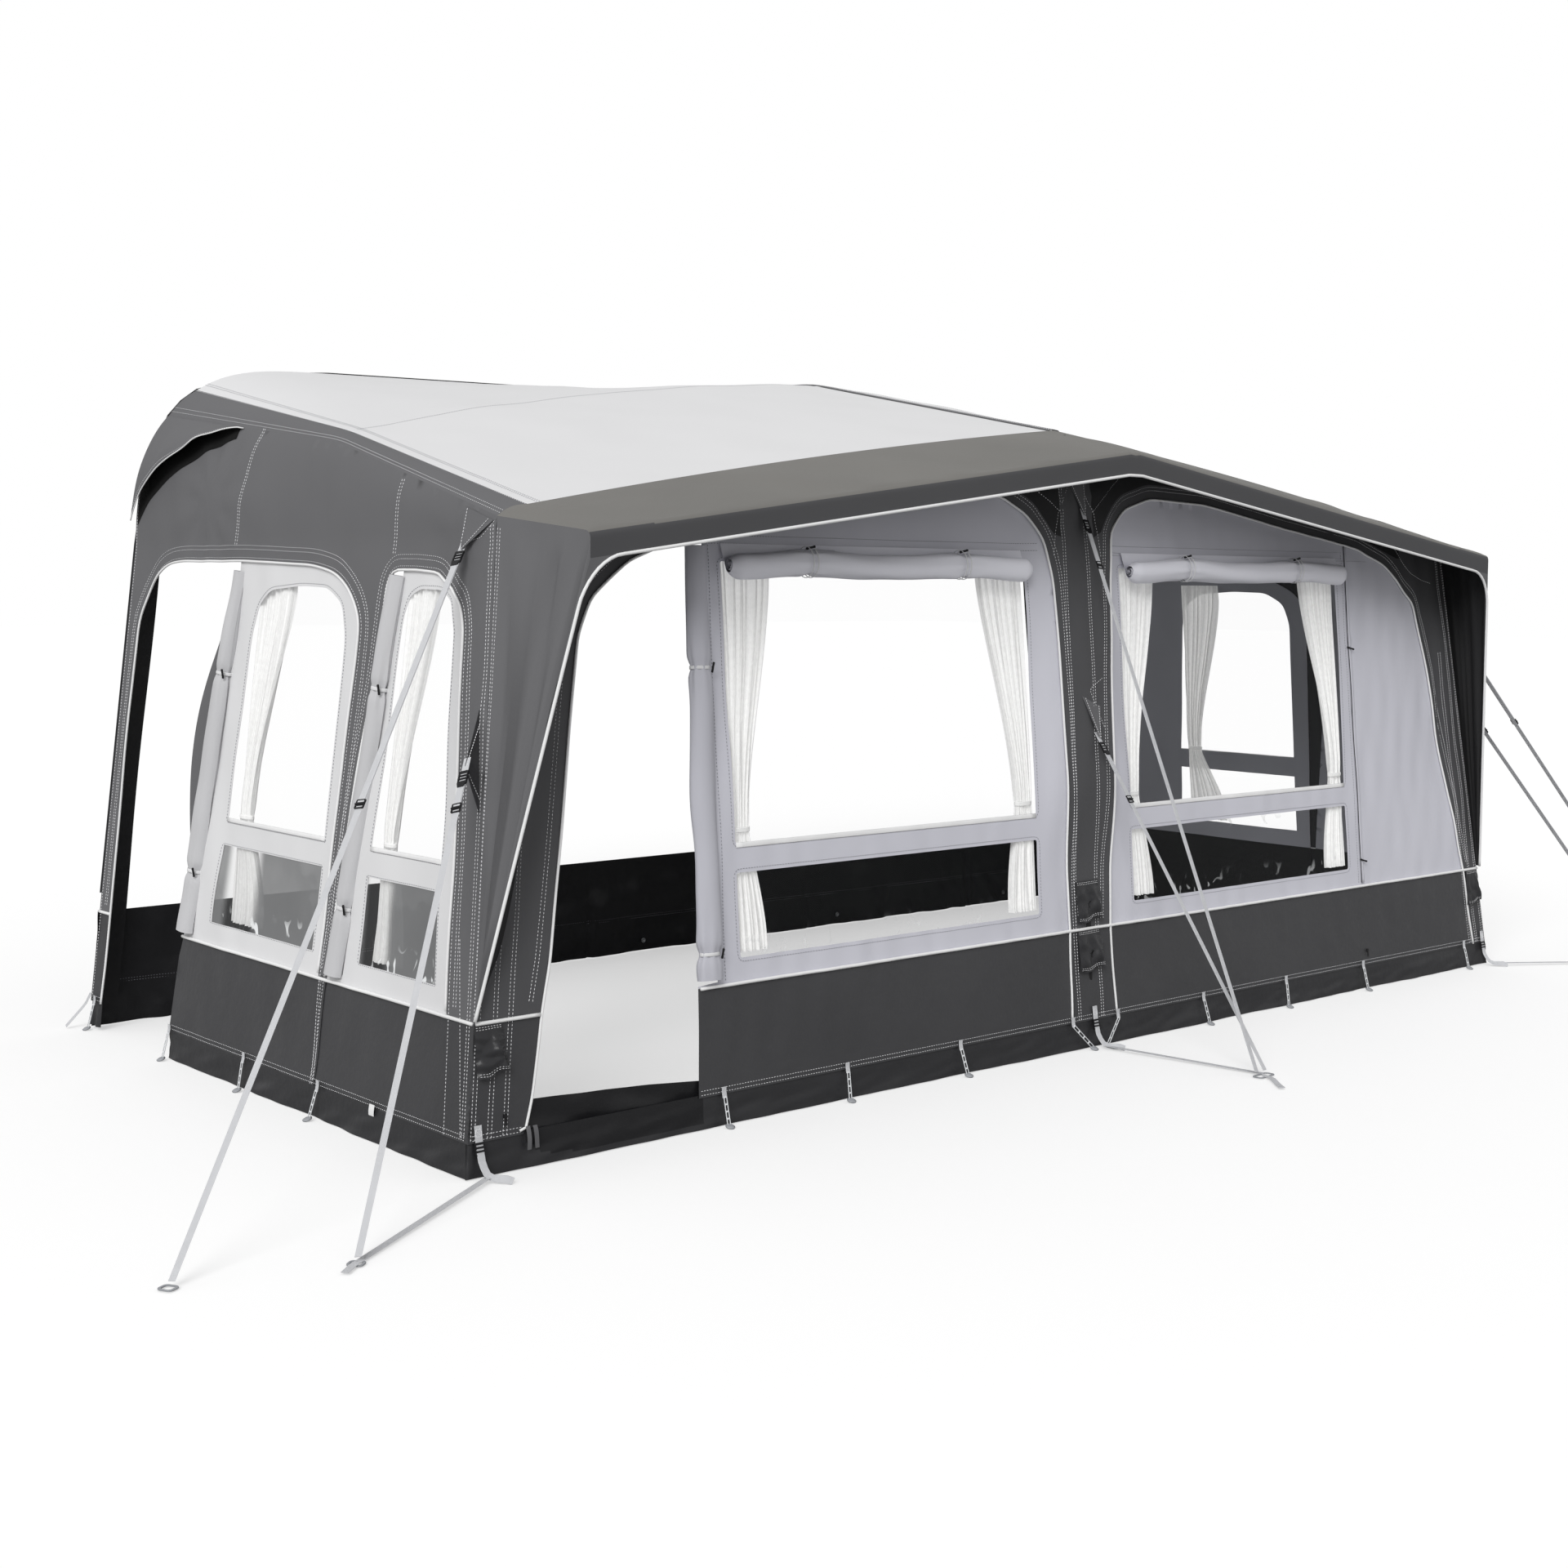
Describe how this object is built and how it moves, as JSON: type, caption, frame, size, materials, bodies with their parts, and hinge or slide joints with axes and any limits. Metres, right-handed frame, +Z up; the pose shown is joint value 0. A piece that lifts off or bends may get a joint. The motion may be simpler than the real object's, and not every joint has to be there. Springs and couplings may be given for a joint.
{
  "type": "caravan awning",
  "caption": "Air-frame caravan awning with peaked roof, front hood, arched front and side openings, rolled doors and guy straps",
  "frame": {"origin": "Centre of the bounding box in plan, at ground level.", "axes": "+X along the front wall towards its right as seen from outside, +Y from the front towards the caravan, +Z up."},
  "size_m": [7.525, 3.4324, 2.512],
  "materials": {
    "roof_cloth": "matt coated polyester, light grey",
    "wall_cloth": "matt coated polyester, dark grey",
    "panel_cloth": "matt coated polyester, mid grey",
    "side_panel_cloth": "matt coated polyester, light grey",
    "wipe_clean_band": "semi-gloss coated sheet, dark grey",
    "window_film": "clear glossy flexible film",
    "air_tube": "black sleeved air tube",
    "valve_plastic": "black moulded plastic",
    "webbing": "grey woven webbing",
    "curtain_cloth": "thin pale curtain cloth",
    "skirt_sheet": "black coated sheet",
    "piping": "white plastic bead"
  },
  "bodies": {
    "canopy": {"front_wall": "wall_cloth", "roof_left": "roof_cloth", "roof_right": "roof_cloth", "upper_side_left": "wall_cloth", "upper_side_right": "wall_cloth", "ridge_strip": "wall_cloth", "front_hood": "wall_cloth", "hood_wing_left": "wall_cloth", "hood_wing_right": "wall_cloth", "front_panel_left": "panel_cloth", "front_panel_right": "panel_cloth", "front_door_right": "panel_cloth", "side_wall_left": "wall_cloth", "side_wall_right": "wall_cloth", "side_panel_left_rear": "side_panel_cloth", "side_panel_left_front": "side_panel_cloth", "side_panel_right_rear": "side_panel_cloth", "side_panel_right_front": "side_panel_cloth", "window_film_front_left": "window_film", "window_film_front_right": "window_film", "window_film_left_rear": "window_film", "window_film_left_front": "window_film", "window_film_right_rear": "window_film", "window_film_right_front": "window_film", "door_roll_left_rear": "side_panel_cloth", "door_roll_left_front": "side_panel_cloth", "door_roll_front": "panel_cloth", "air_pole_left": "air_tube", "air_pole_centre": "air_tube", "air_pole_right": "air_tube", "vent_hood_left": "wall_cloth", "vent_hood_right": "wall_cloth", "mud_flap": "wipe_clean_band", "rear_skirt": "skirt_sheet", "rail_bead": "piping", "guy_strap_left_upper": "webbing", "guy_strap_right_upper": "webbing", "guy_strap_left_lower": "webbing", "guy_strap_right_lower": "webbing", "guy_strap_centre": "webbing"},
    "valve_flap_left": {"valve_flap_left": "wipe_clean_band"},
    "valve_cap_left": {"valve_cap_left": "valve_plastic"},
    "valve_flap_centre_lower": {"valve_flap_centre_lower": "wipe_clean_band"},
    "valve_cap_centre_lower": {"valve_cap_centre_lower": "valve_plastic"},
    "valve_flap_centre_upper": {"valve_flap_centre_upper": "wipe_clean_band"},
    "valve_cap_centre_upper": {"valve_cap_centre_upper": "valve_plastic"},
    "valve_flap_right": {"valve_flap_right": "wipe_clean_band"},
    "valve_cap_right": {"valve_cap_right": "valve_plastic"},
    "blind_roll_left": {"blind_roll_left": "panel_cloth"},
    "blind_roll_right": {"blind_roll_right": "panel_cloth"},
    "curtain_front_left_post": {"curtain_front_left_post": "curtain_cloth"},
    "curtain_front_left_door": {"curtain_front_left_door": "curtain_cloth"},
    "curtain_left_rear": {"curtain_left_rear": "curtain_cloth"},
    "curtain_left_front": {"curtain_left_front": "curtain_cloth"},
    "curtain_front_right_post": {"curtain_front_right_post": "curtain_cloth"},
    "curtain_front_right_door": {"curtain_front_right_door": "curtain_cloth"},
    "curtain_right_rear": {"curtain_right_rear": "curtain_cloth"},
    "curtain_right_front": {"curtain_right_front": "curtain_cloth"},
    "zip_slider_right": {"zip_slider_right": "valve_plastic"},
    "zip_slider_left": {"zip_slider_left": "valve_plastic"}
  },
  "joints": [
    {"name": "valve_flap_left_hinge", "type": "hinge", "parent": "canopy", "child": "valve_flap_left", "pos_m": [-2.5975, -0.85493, 0.42803], "axis": [-1, 0, 0], "range_deg": [0, 95]},
    {"name": "valve_cap_left_turn", "type": "hinge", "parent": "canopy", "child": "valve_cap_left", "pos_m": [-2.5975, -0.86546, 0.34022], "axis": [0, -0.9953, 0.0965], "continuous": true},
    {"name": "valve_flap_centre_lower_hinge", "type": "hinge", "parent": "canopy", "child": "valve_flap_centre_lower", "pos_m": [0, -0.85493, 0.42803], "axis": [-1, 0, 0], "range_deg": [0, 95]},
    {"name": "valve_cap_centre_lower_turn", "type": "hinge", "parent": "canopy", "child": "valve_cap_centre_lower", "pos_m": [0, -0.86546, 0.34022], "axis": [0, -0.9953, 0.0965], "continuous": true},
    {"name": "valve_flap_centre_upper_hinge", "type": "hinge", "parent": "canopy", "child": "valve_flap_centre_upper", "pos_m": [0, -0.83747, 0.60803], "axis": [-1, 0, 0], "range_deg": [0, 95]},
    {"name": "valve_cap_centre_upper_turn", "type": "hinge", "parent": "canopy", "child": "valve_cap_centre_upper", "pos_m": [0, -0.848, 0.52022], "axis": [0, -0.9953, 0.0965], "continuous": true},
    {"name": "valve_flap_right_hinge", "type": "hinge", "parent": "canopy", "child": "valve_flap_right", "pos_m": [2.5975, -0.85493, 0.42803], "axis": [-1, 0, 0], "range_deg": [0, 95]},
    {"name": "valve_cap_right_turn", "type": "hinge", "parent": "canopy", "child": "valve_cap_right", "pos_m": [2.5975, -0.86546, 0.34022], "axis": [0, -0.9953, 0.0965], "continuous": true},
    {"name": "blind_roll_left_hinge", "type": "hinge", "parent": "canopy", "child": "blind_roll_left", "pos_m": [0, -0.72155, 1.8], "axis": [-1, 0, 0], "range_deg": [0, 70]},
    {"name": "blind_roll_right_hinge", "type": "hinge", "parent": "canopy", "child": "blind_roll_right", "pos_m": [0, -0.72155, 1.8], "axis": [-1, 0, 0], "range_deg": [0, 70]},
    {"name": "curtain_front_left_post_slide", "type": "slide", "parent": "canopy", "child": "curtain_front_left_post", "axis": [-1, 0, 0], "range_m": [0, 0.3]},
    {"name": "curtain_front_left_door_slide", "type": "slide", "parent": "canopy", "child": "curtain_front_left_door", "axis": [1, 0, 0], "range_m": [0, 0.3]},
    {"name": "curtain_left_rear_slide", "type": "slide", "parent": "canopy", "child": "curtain_left_rear", "axis": [0, -1, 0], "range_m": [0, 0.3]},
    {"name": "curtain_left_front_slide", "type": "slide", "parent": "canopy", "child": "curtain_left_front", "axis": [0, -1, 0], "range_m": [0, 0.12]},
    {"name": "curtain_front_right_post_slide", "type": "slide", "parent": "canopy", "child": "curtain_front_right_post", "axis": [1, 0, 0], "range_m": [0, 0.3]},
    {"name": "curtain_front_right_door_slide", "type": "slide", "parent": "canopy", "child": "curtain_front_right_door", "axis": [-1, 0, 0], "range_m": [0, 0.3]},
    {"name": "curtain_right_rear_slide", "type": "slide", "parent": "canopy", "child": "curtain_right_rear", "axis": [0, -1, 0], "range_m": [0, 0.3]},
    {"name": "curtain_right_front_slide", "type": "slide", "parent": "canopy", "child": "curtain_right_front", "axis": [0, -1, 0], "range_m": [0, 0.12]},
    {"name": "zip_slider_right_slide", "type": "slide", "parent": "canopy", "child": "zip_slider_right", "axis": [-0.0227, 0.0965, 0.9951], "range_m": [0, 1.2]},
    {"name": "zip_slider_left_slide", "type": "slide", "parent": "canopy", "child": "zip_slider_left", "axis": [0.2068, 0.0945, 0.9738], "range_m": [0, 1.2]}
  ]
}
